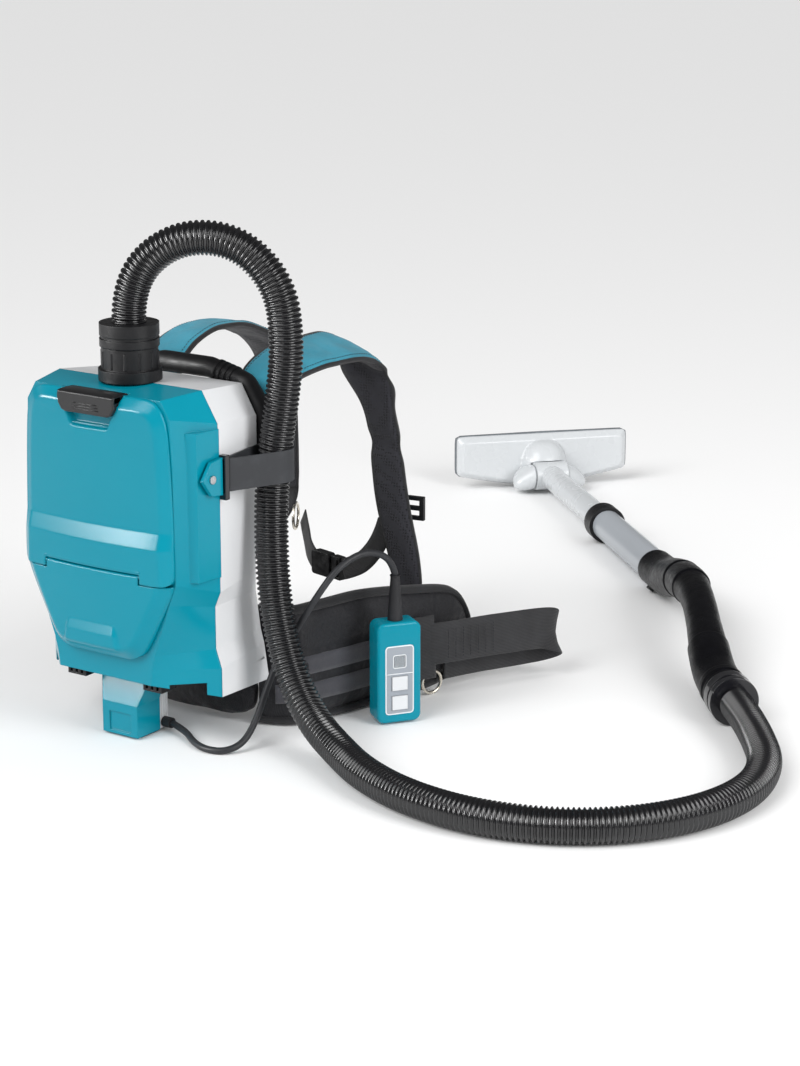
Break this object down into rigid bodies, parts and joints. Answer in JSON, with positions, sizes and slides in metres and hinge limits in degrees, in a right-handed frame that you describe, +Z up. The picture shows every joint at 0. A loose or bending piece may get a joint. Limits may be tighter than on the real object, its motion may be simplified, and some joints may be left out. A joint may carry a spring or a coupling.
{
  "type": "backpack vacuum cleaner",
  "caption": "Cordless backpack vacuum cleaner: two-colour casing, padded harness and hip belt, corrugated hose, bent grip, telescopic wand, wide nozzle and corded remote switch.",
  "frame": {"origin": "middle of the underside of the foot below the battery post", "axes": "+X to the wearer's right, +Y from the casing towards the wearer, +Z up"},
  "size_m": [0.9205, 1.2704, 0.5295],
  "materials": {
    "teal_shell": "smooth moulded teal plastic",
    "white_shell": "smooth moulded white plastic",
    "black_plastic": "fine-textured black plastic",
    "rubber": "matt black rubber",
    "steel": "plain steel",
    "ring_metal": "bright plated wire",
    "bag_paper": "non-woven filter media",
    "board": "green circuit board",
    "teal_fabric": "woven nylon, teal",
    "black_fabric": "woven nylon and mesh, black",
    "webbing": "ribbed polyester webbing, black",
    "hose_rubber": "corrugated hose, black",
    "cable_rubber": "smooth cable jacket, dark grey",
    "pipe_plastic": "light grey moulded pipe",
    "nozzle_plastic": "off-white moulded plastic",
    "grey_panel": "grey label plate",
    "white_button": "soft white button",
    "lens": "clear window"
  },
  "bodies": {
    "casing": {"front_housing": "teal_shell", "rear_housing": "white_shell", "lower_front_cover": "teal_shell", "lid_hinge_pins": "steel", "lid_gasket": "rubber", "battery_post": "teal_shell", "post_rear_strip": "white_shell", "battery_terminals": "black_plastic", "foot_pad": "rubber", "inlet_socket": "black_plastic", "bag_holder": "bag_paper", "dust_bag": "bag_paper", "chamber_divider": "black_plastic", "hepa_filter": "bag_paper", "motor_body": "steel", "control_board": "board", "housing_screws": "steel", "hose_clip_bracket": "teal_shell", "clip_screw": "steel", "clip_buckle": "black_plastic", "hose_clip_band": "rubber", "carry_handle": "black_plastic", "back_plate": "black_plastic", "back_pad": "black_fabric", "shoulder_strap_right": "teal_fabric", "shoulder_strap_left": "teal_fabric", "strap_tails": "webbing", "strap_adjusters": "black_plastic", "chest_webbings": "webbing", "chest_buckle_female": "black_plastic", "chest_buckle_male": "black_plastic", "belt_centre_pad": "black_fabric", "belt_wing_right": "black_fabric", "belt_wing_left": "black_fabric", "waist_webbings": "webbing", "harness_rings": "ring_metal", "suction_hose": "hose_rubber", "switch_cable": "cable_rubber", "cable_gland": "rubber", "grip_handle": "black_plastic", "outer_pipe": "pipe_plastic", "switch_case_front": "teal_shell", "switch_case_back": "teal_shell", "switch_panel": "grey_panel", "indicator_lens": "lens", "switch_strain_relief": "rubber", "belt_clip": "black_plastic"},
    "lid": {"dust_lid": "teal_shell", "latch_pin": "steel"},
    "latch": {"lid_latch": "black_plastic"},
    "fan": {"fan_impeller": "black_plastic"},
    "hose_cuff": {"inlet_cuff": "black_plastic"},
    "wand_end_cuff": {"wand_cuff": "black_plastic"},
    "release_button": {"grip_release_button": "black_plastic"},
    "collar": {"lock_collar": "black_plastic"},
    "wand_inner": {"inner_pipe": "pipe_plastic"},
    "nozzle": {"nozzle_body": "nozzle_plastic", "nozzle_lip": "rubber"},
    "mode_key": {"mode_button": "white_button"},
    "power_key": {"power_button": "white_button"}
  },
  "joints": [
    {"name": "lid_hinge", "type": "hinge", "parent": "casing", "child": "lid", "pos_m": [0, -0.06, 0.194], "axis": [1, 0, 0], "range_deg": [0, 90]},
    {"name": "latch_pivot", "type": "hinge", "parent": "lid", "child": "latch", "pos_m": [0, -0.051, 0.361], "axis": [1, 0, 0], "range_deg": [-20, 0], "stiffness_Nm_per_rad": 0.15, "springref_deg": 11.46},
    {"name": "fan_spin", "type": "hinge", "parent": "casing", "child": "fan", "pos_m": [0, 0.042, 0.152], "axis": [0, 0, 1], "continuous": true},
    {"name": "inlet_cuff_turn", "type": "hinge", "parent": "casing", "child": "hose_cuff", "pos_m": [0, 0.007, 0.404], "axis": [0, 0, 1], "continuous": true},
    {"name": "wand_cuff_turn", "type": "hinge", "parent": "casing", "child": "wand_end_cuff", "pos_m": [0.503, 0.36, 0.0265], "axis": [-0.6783, 0.7348, 0], "continuous": true},
    {"name": "grip_release", "type": "slide", "parent": "casing", "child": "release_button", "axis": [0.4068, 0.441, 0.8], "range_m": [0, 0.0015], "stiffness_N_per_m": 300, "springref_m": -0.002},
    {"name": "collar_turn", "type": "hinge", "parent": "casing", "child": "collar", "pos_m": [0.02982, 0.90452, 0.0245], "axis": [-0.735, 0.678, 0], "range_deg": [0, 60]},
    {"name": "wand_telescope", "type": "slide", "parent": "casing", "child": "wand_inner", "axis": [0.735, -0.678, 0], "range_m": [0, 0.19]},
    {"name": "nozzle_swivel", "type": "hinge", "parent": "wand_inner", "child": "nozzle", "pos_m": [-0.15835, 1.0781, 0.0245], "axis": [0.678, 0.735, 0], "range_deg": [-40, 40]},
    {"name": "mode_press", "type": "slide", "parent": "casing", "child": "mode_key", "axis": [-0.8192, 0.5736, 0], "range_m": [0, 0.0012], "stiffness_N_per_m": 250, "springref_m": -0.002},
    {"name": "power_press", "type": "slide", "parent": "casing", "child": "power_key", "axis": [-0.8192, 0.5736, 0], "range_m": [0, 0.0012], "stiffness_N_per_m": 250, "springref_m": -0.002}
  ]
}
